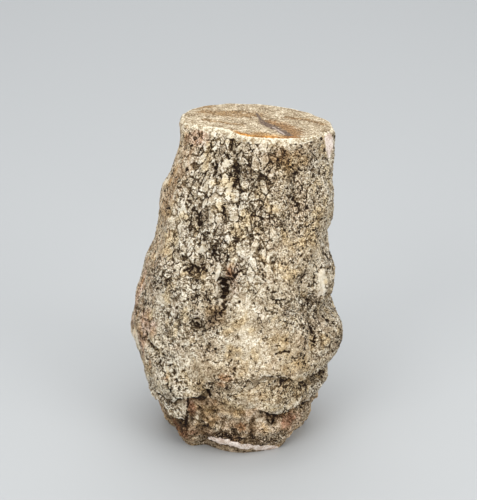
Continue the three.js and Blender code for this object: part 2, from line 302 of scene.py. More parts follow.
# Patches of each look. A patch is its height, how tall it is, its bearing and how wide it is.
PATCHES = {
    # Dirt and dark stains, and painted shade in hollows and under ledges.
    "dark": [
        # the front, from the top down
        (193, 8, 211, 16), (190, 9, 203, 9), (188, 8, 284, 30), (181, 14, 275, 14), (180, 8, 233, 6),
        (178, 18, 252, 8), (178, 10, 300, 16), (155, 12, 250, 5), (150, 7, 230, 5), (131, 4, 246, 3),
        (127, 3, 199, 3), (124, 7, 241, 5), (121, 7, 235, 16), (114.5, 7, 308, 8), (108, 10, 248, 5),
        (104, 8, 240, 7), (98, 7, 255, 5), (97, 5, 202, 3.5), (97, 9, 253.5, 10), (97, 6, 317, 12),
        (97, 6, 330, 9), (94, 8, 258, 6), (92.5, 3, 230.6, 3), (91.5, 4, 224, 4), (90, 6, 242.3, 6),
        (83, 16, 314.5, 3.5), (82, 6, 229, 7), (80.5, 3, 252, 4), (79.5, 3.5, 231.5, 4),
        (71.9, 2.2, 266.4, 2), (70.7, 2, 267.5, 2), (68, 2, 239, 3.5), (68, 2.6, 263.8, 2.6),
        (67.6, 2, 243, 3), (67.5, 5, 265.5, 5), (65.5, 2, 234, 3), (52, 4, 311, 5), (49.5, 6, 252.6, 4),
        (48.5, 4.5, 252.9, 3), (48.2, 3, 291, 2.2), (43.5, 6, 321, 9), (43, 4, 250, 14), (42, 3, 261, 8),
        (41.5, 3.5, 247, 9), (40, 4, 306, 10), (36, 5, 247, 4), (30, 16, 240, 4), (27, 6, 214, 14),
        (26, 3, 293, 7), (25, 3, 292, 4), (24.3, 3, 292, 4), (22, 5, 222, 20), (22, 6, 249, 9),
        (21, 5, 217, 9), (20, 24, 279, 4), (15, 13, 226, 24), (14, 5, 268, 10), (13, 10, 262, 26),
        (9, 8, 270, 40),
        # the sides and the back
        (160, 18, 86, 7), (158, 18, 122, 8), (142, 18, 41, 8), (130, 12, 12, 8), (106, 16, 96, 9),
        (104, 12, 182, 7), (88, 12, 154, 9), (72, 6, 112, 14), (58, 7, 77, 12), (56, 5, 155, 20),
        (41, 6, 36, 14), (31, 6, 104, 14), (18, 10, 60, 30), (12, 8, 150, 24),
    ],
    # Pale plates of bark and clean cream stone.
    "pale": [
        # the front, from the top down
        (194, 8, 231, 3.4), (181, 7, 243, 3), (176, 12, 215, 10), (176, 10, 246, 3.5),
        (172, 6, 236.5, 5), (171, 7, 216, 5), (165, 8, 251, 4.5), (165, 6, 257.6, 3.6),
        (160, 12, 287, 12), (134.4, 7, 239.3, 4.5), (133, 9, 268, 12), (129, 12, 246.5, 10),
        (128, 9, 247.5, 6), (126, 9, 251, 2.6), (114, 14, 217, 8), (113, 6, 260.6, 4), (112, 14, 324, 7),
        (107, 17, 323.6, 8), (103, 12, 213, 8), (103, 7, 322, 5), (94, 14, 196, 10), (92, 24, 217.5, 12),
        (90, 6, 236, 2.2), (85, 12, 220, 8), (80, 14, 261.3, 3), (77, 16, 209, 5), (77, 14, 243, 16),
        (76, 10, 290, 12), (72, 10, 312, 10), (68, 12, 318, 14), (67, 8, 196.5, 5), (65, 14, 200.5, 7),
        (64.6, 10, 199, 7), (62, 12, 232, 20), (52, 7, 269, 10), (47, 14, 286, 24), (46.5, 3, 240, 8),
        (46, 12, 302, 20), (45.2, 3, 230, 14), (44, 12, 282, 20), (42, 9, 284, 7), (39, 5, 296, 14),
        (38, 6, 291, 8), (36, 6, 290, 10), (32, 12, 226, 15), (31.9, 1.6, 264.4, 1.6),
        (31.6, 2.6, 246, 3), (30.9, 2, 244, 1.6), (30, 9, 226, 10), (28.4, 2.4, 275.1, 2),
        (27.6, 3, 276.5, 4), (27.5, 2, 244.5, 2), (26.4, 3, 243, 3), (26, 3, 283.5, 6),
        (24.9, 2, 241.5, 2), (24, 10, 314, 4), (22, 8, 288, 12), (19.8, 2, 252, 2),
        # the sides and the back
        (182, 12, 150, 20), (165, 16, 70, 14), (146, 16, 10, 14), (120, 24, 130, 20), (98, 14, 40, 14),
        (76, 18, 60, 24), (66, 12, 160, 16), (52, 10, 30, 16), (48, 10, 92, 20),
    ],
    # Stretches full of pits and dirt.
    "pitted": [
        # the front, from the top down
        (170, 30, 258, 30), (160, 60, 300, 60), (140, 20, 240, 40), (120, 16, 262, 26),
        (112, 26, 340, 16), (110, 20, 222, 60), (95, 28, 309, 34), (92, 40, 196, 24), (92, 10, 294, 10),
        (89, 26, 232, 42), (84, 5, 281, 6), (80, 8, 209, 12), (78, 50, 345, 26), (75, 26, 314, 16),
        (66, 14, 203, 14), (57, 9, 264, 26), (52, 9, 291, 28), (46, 12, 296, 30), (40, 16, 205, 14),
        (34, 14, 224, 14), (30, 24, 325, 30), (14, 14, 262, 24), (12, 10, 300, 40),
        # the sides and the back
        (180, 24, 120, 34), (150, 50, 20, 30), (130, 30, 70, 30), (112, 36, 172, 30), (92, 24, 20, 30),
        (60, 40, 95, 50),
    ],
    # Stretches of smoother, cleaner stone.
    "clean": [
        # the front, from the top down
        (100, 12, 222, 8), (98, 8, 228, 6), (98, 20, 268, 22), (97, 12, 244, 7), (96, 40, 194, 8),
        (92, 24, 217, 11), (84, 10, 236, 12), (82, 22, 291, 22), (79, 26, 272, 34), (72, 12, 312, 14),
        (66, 14, 247, 22), (64, 12, 285, 20), (43, 10, 285, 18), (36, 8, 268, 14),
        # the sides and the back
        (172, 30, 48, 24), (142, 40, 128, 30), (110, 20, 120, 20), (92, 34, 52, 30), (74, 16, 150, 24),
        (52, 16, 22, 26),
    ],
    # Honeycombed crust: dark little cells between pale ridges.
    "honeycomb": [
        # the front, from the top down
        (106.5, 14, 234, 9), (93.6, 8, 227, 8), (91.5, 8, 226.5, 9), (80.5, 8, 231.7, 8),
        (80, 9, 229, 10), (68, 7, 264.3, 7), (66.8, 9, 238.5, 12), (62, 24, 222, 26), (53, 15, 236, 24),
        (51.2, 10, 239.7, 14), (44, 8, 212, 14), (31, 11, 226, 15),
        # the sides and the back
        (112, 26, 8, 20), (84, 30, 76, 26), (50, 16, 130, 24),
    ],
    # Bare knobs and plates, almost white.
    "bare": [
        # the front, from the top down
        (183, 5, 243.5, 4.5), (170, 6, 250, 3.6), (165, 7, 256.4, 3.4), (133, 6, 238, 4.5),
        (122, 13, 251, 3), (109.5, 12, 323.9, 6.5), (109.4, 5, 252.2, 2.4), (104.6, 5, 254.4, 2),
        (103, 9, 323.2, 6.5), (66, 14, 199.5, 7), (29.6, 2.6, 275.6, 2.4), (27, 3.6, 244.2, 2.4),
        (26.6, 3, 283.6, 5), (24.5, 2, 250, 2),
        # the sides and the back
        (150, 9, 134, 5), (134, 10, 74, 4), (96, 7, 30, 6),
    ],
}
# Stains: the colour that each washes over the stone, and its patches.
STAINS = {
    "tan": ((253, 246, 236), [
        (150, 90, 196, 20), (150, 90, 300, 46), (70, 40, 300, 50), (60, 30, 262, 50),
    ]),
    "russet": ((226, 204, 192), [
        (120, 14, 260, 9), (34, 12, 241, 5), (20, 12, 306, 16), (13, 14, 222, 24), (60, 24, 110, 14),
    ]),
    "rust": ((228, 192, 160), [
        (121, 5, 257.5, 4), (84, 8, 201, 3), (62, 6, 262, 8), (57, 9, 213.5, 2.6), (57, 5, 260, 6),
        (53.5, 3, 229, 4), (23.5, 7, 271.8, 8), (102, 10, 80, 8), (30, 6, 120, 10),
    ]),
    "gold": ((247, 234, 210), [
        (186, 10, 297, 20), (184, 6, 309, 8), (64, 10, 297, 18), (47, 18, 292, 44), (40, 12, 264, 20),
        (36, 6, 250, 14), (150, 20, 100, 24), (55, 16, 40, 20),
    ]),
    "pink": ((252, 231, 228), [
        (193, 8, 206, 14), (92, 46, 194, 9), (80, 12, 212, 14), (79, 22, 208, 8), (65, 26, 206, 7),
        (36, 12, 241, 5), (22, 10, 305, 14), (14, 5, 226, 10), (13, 5, 240, 6), (12, 9, 234, 6),
        (80, 20, 150, 20), (25, 10, 20, 20),
    ]),
    "umber": ((216, 202, 188), [
        (188, 8, 286, 26), (158, 40, 202, 12), (97, 12, 253, 12), (40, 3, 250, 18), (35, 5, 312, 12),
        (20, 24, 279, 4), (17, 9, 248, 12), (15, 12, 225, 24), (12, 8, 270, 30), (20, 12, 40, 30),
        (18, 10, 130, 40), (10, 8, 180, 30),
    ]),
}
# The line round the branch below which the bark is gone, as (bearing, height).
FOOT_LINE = [
    (0, 33), (12, 33), (22, 41), (35, 38), (50, 43), (66, 40), (80, 31), (98, 34), (112, 29), (130, 33),
    (146, 26), (160, 31), (175, 24), (188, 25), (203, 26), (216, 26), (226, 23.6), (234.5, 22), (237.5, 27),
    (240, 40), (242, 42.4), (250, 48), (262, 41), (281, 38.5), (286, 36.4), (293, 28.7), (301, 32.6),
    (308, 33.7), (320, 30), (330, 29.4), (345, 35), (360, 33),
]
# Overhanging lips of crust: the line, then how proud, how deep below, and how far that fades.
LIPS = [
    ([(205, 33), (213, 34.4), (220, 36.6), (224, 36.4), (228.6, 36), (232, 37.5), (235.5, 40.5),
      (238.7, 43.8), (243.2, 44.8), (247.2, 45.5)], 1.6, 3, 5),
    ([(203, 27), (211, 27.4), (216, 27), (222, 26.5), (226, 24.6), (230, 23.2), (234.5, 22.5),
      (236.8, 27)], 1.6, 3.4, 6),
    ([(282, 36.5), (286.7, 34.5), (290, 30), (293.4, 28.5), (301.3, 32), (307.6, 33.5), (320, 30),
      (334, 29)], 1.4, 2.6, 5),
    ([(278, 61), (282.4, 61.8), (290.2, 58.8), (298, 55.7), (305.5, 50.5)], 0.8, 1.5, 4),
    ([(306, 50), (312, 51), (320, 50.6), (336, 46.5)], 1.6, 3.8, 5),
    ([(207, 74.2), (214, 71.3), (220, 70.6), (226, 68)], 0.6, 1.4, 4),
    ([(22, 42), (35, 38), (50, 43), (64, 40)], 1.6, 3.6, 5),
    ([(82, 31), (98, 35), (112, 29), (130, 33)], 1.8, 4.0, 5),
    ([(140, 61), (152, 56), (166, 61), (176, 58)], 1.2, 2.6, 4),
    ([(58, 88), (72, 92), (86, 86), (96, 90)], 1.0, 2.2, 4),
    ([(8, 65), (14, 62), (22, 64), (32, 60)], 1.0, 2.4, 4),
]
# Hollows and knobs: a patch, its lean in degrees, and how high it rises in millimetres.
SHAPES = [
    # the front
    (89, 9, 242.3, 9, 0, -2.4), (48.5, 5, 252.9, 3.4, 0, -1.6), (24, 4, 292.5, 6, 0, -2.2),
    (110, 13, 255.5, 4, 0, -2.2), (107, 18, 323.6, 10, 0, 1.8), (114.5, 6, 307, 8, 0, -1.2),
    (98, 6, 319, 12, 0, -1.1), (80, 16, 261.3, 4, 0, 0.5), (19, 9, 287.5, 10, 0, 0.8),
    (91, 5, 236, 3, 0, 0.7), (68, 8, 196.5, 6, 0, 0.8), (30, 10, 226, 12, 0, 0.6),
    (178, 20, 252, 7, 0, -0.9), (122, 6, 236, 16, 0, -1.0), (34, 8, 246, 10, 0, 0.5),
    (70, 24, 222, 5, -48, 0.9), (61, 22, 214, 5, -48, 0.8), (52, 20, 214, 5, -48, 0.7),
    (83, 20, 313.5, 4, 0, -1.0), (150, 14, 230, 6, 0, -0.8), (13, 8, 300, 12, 0, -0.6),
    (31, 11, 227, 12, 0, 1.6), (27, 12, 271.5, 13, 0, 0.9), (22, 24, 279, 4, 0, -1.2),
    (17, 8, 250, 14, 0, -0.8), (41, 4, 252, 16, 0, -0.8), (12, 9, 234, 7, 0, 1.0),
    (68, 4.5, 264.3, 4.5, 0, -1.2), (96, 10, 254, 6, 30, -1.6),
    # the sides and the back
    (120, 40, 60, 30, 0, -1.2), (90, 30, 110, 24, 20, 1.6), (150, 30, 30, 14, 0, -1.0),
    (60, 20, 150, 26, 0, 1.4), (106, 16, 96, 8, 0, -1.8), (140, 24, 140, 16, 10, 1.2),
    (72, 14, 24, 12, 0, -1.6), (170, 20, 90, 18, 0, 0.8), (52, 12, 78, 14, 0, -1.4),
    (128, 16, 10, 10, 0, 1.0), (96, 18, 182, 8, 0, -1.0),
]

keep_most("crack", (groove(wide, path) for wide, path in CRACKS))
for name, spots in PATCHES.items():
    keep_most(name, (patch(*spot) for spot in spots))
for name, (_, spots) in STAINS.items():
    keep_most(name, (patch(*spot) for spot in spots))
reliefs, overs, theres = (np.array(side) for side in zip(*(lip(*line) for line in LIPS)))
nearest_lip = np.argmin(np.abs(overs) + 50 * (1 - theres), axis=0)[None]
keep("sculpted", reliefs.sum(0) + sum(rise * fade(patch(*spot), 0.1, 0.8) for *spot, rise in SHAPES))
keep("lip_over", np.take_along_axis(overs, nearest_lip, 0)[0].clip(-12, 12))
keep("lip_there", np.take_along_axis(theres, nearest_lip, 0)[0])
# The kinds of surface, each from 0 to 1 and fading over a stretch of bearing or height: tall cracked
# plates of bark on the upper front and back, the smoother reddish skin of the left side, the pale crust
# of the collar, the brown stone of the foot, and its flat underside.
front_plates = facing(248, 28, 56) * fade(height, 96, 128)
back_plates = facing(74, 14, 44) * fade(height, 98, 134) * 0.85
keep("plates", np.maximum(front_plates, back_plates))
keep("skin", facing(194, 14, 24) * fade(height, 48, 70))
keep("collar", fade(height, 38, 48) * (1 - fade(height, 82, 100)))
keep("foot", 1 - fade(height - np.interp(bearing, *zip(*FOOT_LINE)), -1.5, 1.5))
keep("flat_foot", 1 - fade(height, 0.05, 1.5))
# Two smooth new breaks: a long one low on the front, between two lines, and one at the top right.
CHIP_TOP = [
    (244, 6), (248.8, 9.6), (252, 12), (255.9, 13.4), (261.9, 13.2), (268, 11.7), (274, 9.9), (280.3, 8.2),
    (287, 6.6), (294.7, 4.6), (300, 3), (306, -1),
]
CHIP_BOTTOM = [
    (244, 8.4), (248.2, 7.8), (254.9, 7.7), (261.8, 7.3), (268.3, 5.8), (274.9, 4), (281.9, 2.5),
    (289.2, 1.2), (296, -1),
]
TOP_CHIP = (187, 15, 343, 11)
CHIP_EDGE = 3
over_chip = height - np.interp(bearing, *zip(*CHIP_TOP))
under_chip = np.interp(bearing, *zip(*CHIP_BOTTOM)) - height
long_chip = 0.5 - np.maximum(over_chip, under_chip) / CHIP_EDGE
keep("chip", np.maximum(long_chip.clip(0, 1), patch(*TOP_CHIP)))

# The sawn face falls a little to the right. Its marks are lines of (right, back) millimetres from its
# middle, with how wide they are.
TOP_FALL = math.tan(math.radians(3.5))
TOP_MARKS = {
    "top_core": [
        (1.5, [(0, 17), (0.7, 13.7), (2, 6), (3.3, -0.4)]),
        (3.2, [(3, 1), (3.3, -0.4), (6, -5)]),
        (4.6, [(5, -4), (9.7, -10.6), (13.9, -17.1), (18.1, -24.6)]),
    ],
    "top_vein": [(1.6, [(9.7, -10.6), (12.6, -16.3), (16, -23.9)])],
    "top_brown": [
        (6, [(-36, 12), (-25, 17), (-18, 17), (-9, 18)]),
        (13, [(-32, 14), (-14, 10), (0, 14)]),
        (5, [(-32, -3), (-19, -8), (-10, -10)]),
        (6, [(20, 12), (32, 10), (41, 2)]),
        (6, [(-38, 22), (-30, 27)]),
    ],
    "top_halo": [(11, [(8, -1), (15, -5), (20, -13), (22, -21), (20, -30)])],
    "top_orange": [
        (9, [(1, -27), (7, -30), (13.4, -31), (19.4, -30)]),
        (5, [(-17.6, -23), (-12, -27), (-6, -30)]),
    ],
}
# The face ends this far under its plane. The pale rim reaches so far down the bark and so far in over
# the face, and further in front.
FACE_DEPTH = 0.6
RIM_BELOW = 0.8
RIM_INSET = 1.2
RIM_STEPS = 100
right_of, back_of = (skin[:, i] - top_middle[i] for i in (0, 1))
below = top_middle[2] - TOP_FALL * right_of - height


def mark(wide, path):
    """How far inside a line of (right, back) points on the sawn face: 1 in its middle, 1/2 at its edge."""
    nearest = np.full(len(skin), np.inf)
    for start, end in zip(path, path[1:]):
        near = distance(right_of - start[0], back_of - start[1], end[0] - start[0], end[1] - start[1])
        nearest = np.minimum(nearest, near)
    return np.clip(1 - nearest / wide, 0, 1)


on_top = below < FACE_DEPTH
keep("sawn", 1 - fade(below, 0.15, FACE_DEPTH))
for name, lines in TOP_MARKS.items():
    keep_most(name, (mark(wide, path) for wide, path in lines))
slices = np.arange(RIM_STEPS) * 360 / RIM_STEPS
edge = [radius[on_top & (np.abs(turned(middle)) < 3)].max() for middle in slices]
inset = np.interp(bearing, slices, edge, period=360) - radius
in_front = facing(250, 36, 70)
rim_below = RIM_BELOW + 1.2 * in_front
rim_inset = RIM_INSET + 0.9 * in_front
rim = np.where(on_top, 1 - 0.5 * inset / rim_inset, 1 - 0.5 * (below - FACE_DEPTH) / rim_below)
keep("rim", rim.clip(0, 1))
keep("rim_glow", on_top * (1 - fade(inset, 3, 9)) * facing(268, 14, 36))


def paint(red, green, blue):
    """A colour named by its usual 0 to 255 values, as the linear colour that Blender mixes."""
    levels = [c / 255 for c in (red, green, blue)]
    return tuple(c / 12.92 if c <= 0.04045 else ((c + 0.055) / 1.055) ** 2.4 for c in levels) + (1.0,)


class Wire:
    """A value in a node tree. Sums and products of wires and numbers add the Math nodes they need."""

    def __init__(self, tree, socket=None):
        self.tree = tree
        self.socket = socket

    def node(self, kind, settings=None, inputs=None, out=0):
        """Adds a node: its settings first, then the values or wires of its sockets."""
        made = self.tree.nodes.new(kind)
        for name, value in (settings or {}).items():
            setattr(made, name, value)
        for key, value in (inputs or {}).items():
            if isinstance(value, Wire):
                self.tree.links.new(value.socket, made.inputs[key])
            else:
                made.inputs[key].default_value = value
        return Wire(self.tree, None if out is None else made.outputs[out])

    def math(self, operation, *others):
        return self.node("ShaderNodeMath", {"operation": operation}, dict(enumerate((self, *others))))

    def __add__(self, other):
        return self.math("ADD", other)

    def __radd__(self, other):
        return self.math("ADD", other)

    def __sub__(self, other):
        return self.math("SUBTRACT", other)

    def __rsub__(self, other):
        return self.math("MULTIPLY_ADD", -1, other)

    def __mul__(self, other):
        return self.math("MULTIPLY", other)

    def __abs__(self):
        return self.math("ABSOLUTE")

    def step(self, start, end):
        """0 before start, 1 after end, and a smooth rise between."""
        inputs = {"Value": self, "From Min": start, "From Max": end}
        return self.node("ShaderNodeMapRange", {"interpolation_type": "SMOOTHSTEP"}, inputs)

    def most(self, *others):
        """The largest of several values."""
        most = self
        for other in others:
            most = most.math("MAXIMUM", other)
        return most

    def mix(self, low, high):
        """A colour between two, by this value."""
        return self.node("ShaderNodeMix", {"data_type": "RGBA"}, {0: self, 6: low, 7: high}, out=2)

    def wash(self, amount, colour):
        """This colour washed over with another, as a stain in the stone does."""
        settings = {"data_type": "RGBA", "blend_type": "MULTIPLY"}
        return self.node("ShaderNodeMix", settings, {0: amount, 6: self, 7: paint(*colour)}, out=2)

    def ramp(self, colours):
        """The colour that this value has on a scale of (value, colour) stops."""
        made = self.node("ShaderNodeValToRGB", inputs={0: self})
        stops = made.socket.node.color_ramp.elements
        for at, _ in colours[1:-1]:
            stops.new(at)
        for stop, (at, colour) in zip(stops, colours):
            stop.position = at
            stop.color = paint(*colour)
        return made

    def vector(self, operation, other, key=1, out=0):
        """A place or direction, worked on by Vector Math."""
        return self.node("ShaderNodeVectorMath", {"operation": operation}, {0: self, key: other}, out)

    def noise(self, size, detail=2, rough=0.5, out=0):
        """Soft random patches of about a size, in millimetres."""
        inputs = {"Vector": self, "Scale": 1 / size, "Detail": detail, "Roughness": rough}
        return self.node("ShaderNodeTexNoise", {}, inputs, out)

    def drift(self, size, detail=2, rough=0.5):
        """The same, but above and below 0."""
        return self.noise(size, detail, rough) - 0.5

    def sway(self, size, detail, reach):
        """Soft random shifts of a place, up to about half of reach each way."""
        shift = self.noise(size, detail, out=1).vector("SUBTRACT", (0.5, 0.5, 0.5))
        return shift.vector("SCALE", reach, "Scale")

    def cells(self, size, feature="F1", out=0):
        """How far a place is from the middle, or the edge, of random cells of about a size."""
        inputs = {"Vector": self, "Scale": 1 / size}
        return self.node("ShaderNodeTexVoronoi", {"feature": feature}, inputs, out)

    def from_edge(self, size):
        """Millimetres to the nearest edge between such cells."""
        return self.cells(size, "DISTANCE_TO_EDGE") * size

    def cell_tone(self, size, channel=(1, 0, 0)):
        """A random number from 0 to 1 for each cell."""
        return self.cells(size, out=1).vector("DOT_PRODUCT", channel, out=1)


# The sizes of the pattern's cells, in millimetres. The plates are about twice as tall.
PLATE = 4.3
CRUMB = 2.5
PIT = 4.2
CLOD = 7


def pattern(place, read):
    """The parts of the stone's pattern at a place in millimetres, where read gives the kinds of surface."""
    sway = place.sway(8, 2, 7)
    bent = place.vector("ADD", sway)
    tall = sway.vector("SCALE", 0.55, "Scale").vector("ADD", place).vector("MULTIPLY", (1, 1, 0.52))
    plates = read("plates")
    part = {}
    part["lumps"] = place.drift(12, 3)
    part["grain"] = place.drift(3.2, 3, 0.6)
    # Tall plates, some with open joints and some gone, and small crumbs of crust.
    part["plate"] = tall.from_edge(PLATE)
    part["plate_tone"] = tall.cell_tone(PLATE)
    part["open"] = (place.noise(5, 2) + plates * 0.05).step(0.44, 0.58)
    part["gone"] = (1 - part["plate_tone"].step(0.06, 0.16)) * plates * (1 - read("pale").step(0.2, 0.4))
    part["crumb"] = bent.from_edge(CRUMB)
    part["crumb_tone"] = bent.cell_tone(CRUMB)
    # Round pits, in some cells only.
    pit_size = bent.cell_tone(PIT, (0, 1, 0)) * 2.8 - 1.3
    past_pit = bent.cells(PIT) * PIT - pit_size + place.drift(1.5, 2) * 2
    part["pit"] = 1 - past_pit.step(-0.2, 0.2)
    part["pit_edge"] = past_pit.step(0, 0.3) * (1 - past_pit.step(0.6, 1.2)) * pit_size.step(0.1, 0.3)
    # Cracks, and crevices between lumps of crust.
    part["crack"] = (read("crack") + place.drift(2.6, 3, 0.6) * 1.1).step(0.48, 0.64)
    crevice = 1 - abs(place.drift(9, 2.5, 0.55)).step(0.008, 0.035)
    part["crevice"] = crevice * place.noise(6, 2).step(0.44, 0.56)
    # Clods of the broken foot, and the honeycomb's cells and ridges.
    part["clod"] = bent.from_edge(CLOD)
    part["clod_tone"] = bent.cell_tone(CLOD)
    comb = (read("honeycomb") + place.drift(6, 3) * 0.9).step(0.25, 0.6) * (1 - read("foot"))
    part["comb"] = comb
    part["comb_cell"] = part["crumb"].step(0.3, 0.75) * part["crumb_tone"].step(0.3, 0.45) * comb
    part["comb_ridge"] = (1 - part["crumb"].step(0.2, 0.5)) * comb
    part["over"] = read("lip_over") + place.drift(2.5, 2) * 1.6
    return part


# The relief. Points move along the skin's own direction: plates with open joints, crumbs, pits and the
# cracks above. The sawn face and the foot's underside stay flat. In millimetres:
LUMPS_RISE = 3.4
GRAIN_RISE = 2.6
PLATE_RISE = 1.1
CLOD_RISE = 1.2
JOINT_DEPTH = 0.55
GONE_DEPTH = 0.6
CREVICE_DEPTH = 1.3
CRUMB_JOINT_DEPTH = 0.4
CLOD_JOINT_DEPTH = 0.8
CRACK_DEPTH = 1.2

relief = bpy.data.node_groups.new("stone relief", "GeometryNodeTree")
relief.interface.new_socket("Geometry", in_out="INPUT", socket_type="NodeSocketGeometry")
relief.interface.new_socket("Geometry", in_out="OUTPUT", socket_type="NodeSocketGeometry")
arriving = Wire(relief).node("NodeGroupInput")


def point_value(name):
    return arriving.node("GeometryNodeInputNamedAttribute", {"data_type": "FLOAT"}, {"Name": name})


place = arriving.node("GeometryNodeInputPosition").vector("SCALE", 1 / MM, "Scale")
part = pattern(place, point_value)
plates = point_value("plates")
foot = point_value("foot")
pitted = point_value("pitted")
on_bark = (1 - point_value("sawn")) * (1 - point_value("flat_foot"))
calm = (1 - point_value("chip") * 0.85) * (1 - point_value("skin") * 0.5)
joint = (1 - part["plate"].step(0.0, 0.8)) * part["open"] * (plates * 0.8 + 0.2)
crumb_joint = (1 - part["crumb"].step(0.0, 0.7)) * (1 - plates) * (1 - part["comb"])
clod_joint = (1 - part["clod"].step(0.1, 1.3)) * (foot + pitted * 0.3 * (1 - plates))
crevice = part["crevice"] * (0.2 + foot * 0.5 + pitted * 0.6) * (1 - plates)
pits = part["pit"] * (0.4 + pitted * 0.8) * (1 - part["comb"]) + part["comb_cell"] * 0.8
rise = part["lumps"] * LUMPS_RISE + part["grain"] * GRAIN_RISE
rise = rise + (part["plate_tone"] - 0.5) * plates * PLATE_RISE
rise = rise - joint * JOINT_DEPTH - part["gone"] * GONE_DEPTH - crevice * CREVICE_DEPTH
rise = rise - crumb_joint * CRUMB_JOINT_DEPTH - pits - clod_joint * CLOD_JOINT_DEPTH
rise = rise + (part["clod_tone"] - 0.5) * foot * CLOD_RISE
rise = (rise * calm - part["crack"] * CRACK_DEPTH + point_value("sculpted")) * on_bark
stored = arriving.node(
    "GeometryNodeStoreNamedAttribute",
    {"data_type": "FLOAT_VECTOR", "domain": "POINT"},
    {"Geometry": arriving, "Name": "rest", "Value": place},
)
shift = arriving.node("GeometryNodeInputNormal").vector("SCALE", rise * MM, "Scale")
moved = arriving.node("GeometryNodeSetPosition", {}, {"Geometry": stored, "Offset": shift})
arriving.node("NodeGroupOutput", {}, {"Geometry": moved}, out=None)
crust = branch.modifiers.new("relief", "NODES")
crust.node_group = relief
bpy.ops.object.modifier_apply(modifier=crust.name)

# The foot stands on its flat underside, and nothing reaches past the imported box.
lowest, highest = (np.array(corner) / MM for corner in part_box(NODE))
settled = np.clip(coordinates(branch.data), lowest, highest)
branch.data.vertices.foreach_set("co", (settled * MM).ravel())
branch.data.update()

# The finish. Stone colours run from the brown-black of the cracks to cream, as tone runs from 0 to 1;
# each kind of surface has its own mean and its own stains.
STONE_COLOURS = [
    (0.0, (33, 18, 6)),
    (0.2, (62, 45, 25)),
    (0.36, (104, 86, 59)),
    (0.5, (139, 121, 95)),
    (0.64, (172, 155, 128)),
    (0.78, (206, 191, 164)),
    (0.9, (231, 219, 196)),
    (1.0, (250, 243, 226)),
]
MEAN_TONE = 0.705
BARE_TONE = 0.9
# How much darker than the stone round it each line, hole, stretch of dirt or painted shade is.
DARKER = {
    "hair": 0.8,
    "stroke": 0.8,
    "fleck": 0.58,
    "fine fleck": 0.42,
    "pit": 0.55,
    "crumb joint": 0.4,
    "crevice": 0.45,
    "clod joint": 0.24,
    "comb cell": 0.36,
    "crack": 0.6,
    "dirt and painted shade": 0.19,
    "lip shadow line": 0.42,
    "lip shade": 0.22,
    "plate gone": 0.1,
}
# How much paler each face, edge or grain is; the glints and the lip's top edge are painted highlights.
PALER = {
    "pale": 0.065,
    "chips": 0.08,
    "glint": 0.26,
    "halo": 0.12,
    "pit edge": 0.12,
    "plate edge": 0.12,
    "comb ridge": 0.13,
    "lip highlight": 0.26,
}

stone = bpy.data.materials.new("petrified stone")
stone.use_nodes = True
stone.node_tree.nodes.clear()
surface = Wire(stone.node_tree)


def surface_value(name):
    return surface.node("ShaderNodeAttribute", {"attribute_name": name}, out=2)


def ragged(name, waver, start, end):
    """A kept patch with a wavering edge: 0 where the two add up to less than start, 1 past end."""
    return (surface_value(name) + waver).step(start, end)


def hairline(size, half_width, gate, share):
    """Thin wandering lines, half_width each side in noise, kept where a slower noise is above share."""
    line = 1 - abs(place.drift(size, 1.5)).step(half_width * 0.5, half_width)
    return line * place.noise(gate, 2).step(share, share + 0.05)


place = surface.node("ShaderNodeAttribute", {"attribute_name": "rest"}, out=1)
part = pattern(place, surface_value)
plates = surface_value("plates")
collar = surface_value("collar")
foot = surface_value("foot")
sawn = surface_value("sawn")
broad = place.drift(26, 3)
patches = place.drift(8, 3)
mottle = place.drift(2.2, 2)
speck = place.drift(0.7, 2, 0.7)
hue = place.drift(11, 3, 0.55)
pale = ragged("pale", place.drift(5, 3) * 0.7, 0.4, 0.62)
dark = ragged("dark", place.drift(4, 3) * 0.9, 0.35, 0.7)
pitted = ragged("pitted", place.drift(7, 3) * 1.5, 0.15, 0.85)
clean = ragged("clean", place.drift(6, 3) * 0.8, 0.2, 0.7)
# Painted light and shade: the upper side of every crumb is painted paler, as if lit from above, and
# painted shade lies under it. The slope of larger lumps is painted the same way.
emboss = place.noise(1.8, 2, 0.55) - place.vector("ADD", (0.15, -0.1, 0.55)).noise(1.8, 2, 0.55)
painted_top_light = emboss.step(0.03, 0.06)
painted_under_shade = (0 - emboss).step(0.04, 0.07)
painted_slope_shade = place.noise(5.5, 2) - place.vector("ADD", (0.3, 0, 1.5)).noise(5.5, 2)
# Dark flecks of two sizes that come in clusters, painted glints beside them, and short hair cracks.
cluster = place.noise(9, 2.5, 0.6).step(0.44, 0.6)
torn = place.sway(2, 1, 3).vector("ADD", place)
fleck_depth = torn.noise(2.4, 2, 0.6) - pitted * 0.03 + clean * 0.04 + foot * 0.03 + 0.02 - cluster * 0.06
fine_depth = place.noise(0.85, 1, 0.5) - pitted * 0.03 + clean * 0.05 + foot * 0.03 + 0.01 - cluster * 0.04
fleck = 1 - fleck_depth.step(0.355, 0.385)
fine_fleck = 1 - fine_depth.step(0.29, 0.33)
halo = fleck_depth.step(0.385, 0.41) * (1 - fleck_depth.step(0.43, 0.47))
# Painted glints: small pale spots that stand in for sparkles of light.
glint = (place.noise(1, 1.5, 0.5) + pitted * 0.03).step(0.6, 0.65) * (0.15 + pitted + plates * 0.5)
rough = 0.3 + pitted * 0.5 + foot * 0.1 - clean * 0.2 + plates * 0.2
fewer = 1 - clean * 0.5
hairs = hairline(5, 0.04, 2.6, 0.54) * (0.6 + pitted * 0.25 + cluster * 0.15 - foot * 0.3) * fewer
strokes = hairline(3.4, 0.075, 2.2, 0.56) * (0.45 + pitted * 0.25 + cluster * 0.4 - foot * 0.3) * fewer
